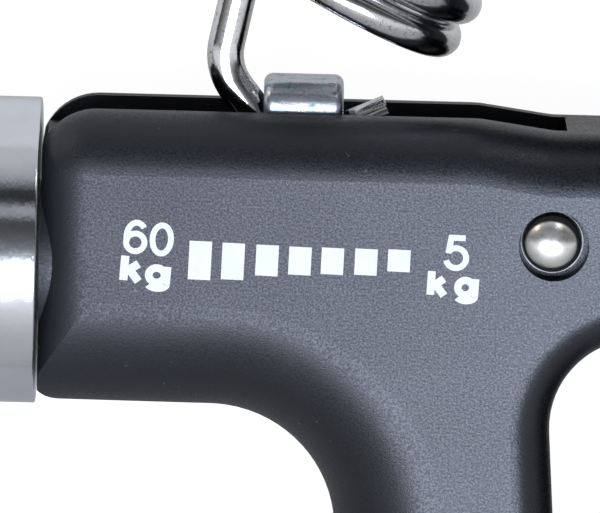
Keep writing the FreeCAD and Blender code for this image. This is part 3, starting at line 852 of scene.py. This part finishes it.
# each glyph is a few strokes, drawn in a box of width 1 and height 1
glyphStrokes = {
    "0": [glyphArc((0.5, 0.5), (0.5, 0.5), 0, 360)],
    "6": [glyphArc((0.5, 0.31), (0.5, 0.31), 0, 360), glyphArc((0.53, 0.5), (0.53, 0.5), 42, 200)],
    "5": [[(0.93, 1.0), (0.20, 1.0), (0.08, 0.48)], glyphArc((0.48, 0.33), (0.52, 0.33), 142, -165)],
    "k": [[(0.02, -0.1), (0.02, 1.1)], [(0.02, 0.26), (0.90, 0.76)], [(0.36, 0.44), (0.97, -0.10)]],
    "g": [glyphArc((0.44, 0.64), (0.44, 0.36), 0, 360), [(1.0, 1.1), (1.0, 0.22)],
          glyphArc((0.50, 0.22), (0.50, 0.22), 0, -158)],
}


def layPrint(name, bm, where, turnDegrees, scale):
    # a flat shape in millimetres about its own middle, thickened and laid on the arm's face
    made = bmesh.ops.extrude_face_region(bm, geom=bm.faces[:])
    bmesh.ops.translate(bm, verts=newVerts(made), vec=(0, 0, scale["thick"]))
    bmesh.ops.recalc_face_normals(bm, faces=bm.faces)
    spot = place(*where)
    spot.z = frontFace + scale["lift"] * mm
    turn = Matrix.Translation(spot) @ Matrix.Rotation(math.radians(turnDegrees), 4, "Z") @ Matrix.Scale(mm, 4)
    bmesh.ops.transform(bm, matrix=turn, verts=bm.verts)
    newPiece(name, bm, printWhite, "frame", scale["sharp"])


def addStroke(bm, route, weight, level, same=1e-4, sharpest=0.5):
    # ribbon of even width along a route
    closed = (Vector(route[0]) - Vector(route[-1])).length < same
    points = [Vector(point) for point in (route[:-1] if closed else route)]
    count = len(points)
    sides = []
    for i, point in enumerate(points):
        before = points[i - 1] if closed or i else point
        after = points[(i + 1) % count] if closed or i < count - 1 else point
        along = [(b - a).normalized() for a, b in ((before, point), (point, after)) if a != b]
        mitre = (along[0] + along[-1]).normalized()
        reach = weight / 2 / max(sharpest, mitre.dot(along[0]))
        out = Vector((-mitre.y, mitre.x)) * reach
        sides.append([bm.verts.new((*(point + out), level)), bm.verts.new((*(point - out), level))])
    following = sides[1:] + sides[:1] if closed else sides[1:]
    for (a, b), (c, d) in zip(sides, following):
        bm.faces.new((a, b, d, c))


def makePrintPieces(scale):
    for index, (letter, where, size, turn, weight) in enumerate(scale["letters"]):
        bm = bmesh.new()
        # strokes run along their middles, so the box they fill is smaller by one weight
        wide, tall = size[0] - weight, size[1] - weight
        top = size[1] / 2
        for order, stroke in enumerate(glyphStrokes[letter]):
            route = [((x - 0.5) * wide, max(-top, min(top, (y - 0.5) * tall))) for x, y in stroke]
            addStroke(bm, route, weight, order * scale["strokeStep"])
        layPrint("printLetter%d" % (index + 1), bm, where, turn, scale)
    for index, (where, tall) in enumerate(scale["bars"]):
        bm = bmesh.new()
        bmesh.ops.create_grid(bm, x_segments=1, y_segments=1, size=0.5)
        bmesh.ops.scale(bm, verts=bm.verts, vec=(scale["barWidth"], tall, 1))
        layPrint("printBar%d" % (index + 1), bm, where, scale["slantDegrees"], scale)


makePrintPieces(scalePrint)
print("scale printed")

# floor, world and lamps

floorLook = {
    "size": 6.0, "colour": (0.13, 0.13, 0.135), "roughness": 0.9, "specular": 0.1,
    "seen": 0.97, "mirrored": (0.18, 0.45), "mirroredTo": 0.05,
}
# brightness of the studio by direction: degrees from straight above, towards the top of the part
skyBands = [
    (-180, 0.40), (-90, 0.35), (-70, 0.41), (-60, 0.45), (-50, 0.54), (-40, 0.66), (-34, 0.80), (-28, 0.92),
    (-8, 0.92), (-2, 0.60), (2, 0.32), (7, 0.19), (14, 0.11), (25, 0.055), (30, 0.065), (33, 0.30),
    (40, 0.34), (42, 0.06), (46, 0.02), (53, 0.025), (57, 0.15), (62, 0.33), (70, 0.42), (80, 0.49),
    (100, 0.50), (180, 0.42),
]
skyLook = {"tint": (1.0, 1.01, 1.04), "sideLevel": 0.8, "sideFrom": 0.35, "sideTo": 0.95}
# leans are in degrees from straight above: X to the right, Y to the top of the part
lamps = {
    "keyLamp": {"leanX": 0, "leanY": -14, "distance": 1.2, "size": (1.1, 0.46), "power": 16.5,
                "colour": (0.84, 0.92, 1.05), "aim": (-145, 0)},
    "sparkLeft": {"leanX": -46, "leanY": 75, "distance": 1.0, "size": (0.22, 0.22), "power": 0.65,
                  "colour": (1.0, 0.88, 0.68), "aim": (-25, 0)},
    "sparkRight": {"leanX": 20, "leanY": 64, "distance": 1.0, "size": (0.22, 0.22), "power": 0.455,
                   "colour": (1.0, 0.97, 0.92), "aim": (-25, 0)},
}


def splitNode(tree, coordinates):
    # direction or place, split into its parts
    coords = tree.nodes.new("ShaderNodeTexCoord")
    split = tree.nodes.new("ShaderNodeSeparateXYZ")
    tree.links.new(coords.outputs[coordinates], split.inputs["Vector"])
    return split.outputs


def makeFloor(look):
    bm = bmesh.new()
    bmesh.ops.create_grid(bm, x_segments=2, y_segments=2, size=look["size"] / 2)
    material = bpy.data.materials.new("floorWhite")
    material.use_nodes = True
    tree = material.node_tree
    shader = tree.nodes["Principled BSDF"]
    shader.inputs["Base Color"].default_value = (*look["colour"], 1)
    shader.inputs["Roughness"].default_value = look["roughness"]
    shader.inputs["Specular IOR Level"].default_value = look["specular"]
    light = tree.nodes.new("ShaderNodeLightPath")
    seen = mathNode(tree, "MULTIPLY", light.outputs["Is Camera Ray"], look["seen"])
    mirrored = mathNode(tree, "MAXIMUM", light.outputs["Is Glossy Ray"], light.outputs["Is Transmission Ray"])
    level = rangeNode(tree, splitNode(tree, "Object")["Y"], *look["mirrored"], 0.0, look["mirroredTo"])
    mirrored = mathNode(tree, "MULTIPLY", mirrored, level)
    shader.inputs["Emission Color"].default_value = (1, 1, 1, 1)
    tree.links.new(mathNode(tree, "MAXIMUM", seen, mirrored), shader.inputs["Emission Strength"])
    mesh = meshFrom("floor", bm)
    mesh.materials.append(material)
    linkNew("floor", mesh)


def makeWorld(bands, look):
    world = bpy.data.worlds.new("studio")
    world.use_nodes = True
    bpy.context.scene.world = world
    tree = world.node_tree
    background = tree.nodes["Background"]
    way = splitNode(tree, "Generated")
    angle = mathNode(tree, "ARCTAN2", way["Y"], way["Z"])
    share = rangeNode(tree, angle, 0.0, 1.0, -math.pi, math.pi)
    tint = look["tint"]
    stops = [((degrees + 180) / 360, tuple(level * part for part in tint)) for degrees, level in bands]
    sky = rampNode(tree, share, stops)
    # dimmer to the left and right
    aside = mathNode(tree, "ABSOLUTE", way["X"], 0.0)
    side = rangeNode(tree, aside, 1.0, look["sideLevel"], look["sideFrom"], look["sideTo"])
    sky = mixColour(tree, 1.0, sky, side, "MULTIPLY")
    light = tree.nodes.new("ShaderNodeLightPath")
    seen = mixColour(tree, light.outputs["Is Camera Ray"], sky, (1.0, 1.0, 1.0))
    tree.links.new(seen, background.inputs["Color"])
    background.inputs["Strength"].default_value = 1.0


def makeLamp(name, look):
    data = bpy.data.lights.new(name, "AREA")
    data.shape = "RECTANGLE"
    data.size, data.size_y = look["size"]
    data.energy = look["power"]
    data.color = look["colour"]
    lamp = linkNew(name, data)
    x, y = math.radians(look["leanX"]), math.radians(look["leanY"])
    way = Vector((math.sin(x), math.sin(y) * math.cos(x), math.cos(y) * math.cos(x)))
    lamp.location = place(*look["aim"]) + way * look["distance"]
    lamp.rotation_euler = way.to_track_quat("Z", "Y").to_euler()


makeFloor(floorLook)
makeWorld(skyBands, skyLook)
for name, look in lamps.items():
    makeLamp(name, look)
bpy.context.scene.view_settings.view_transform = "Standard"
print("studio lit")
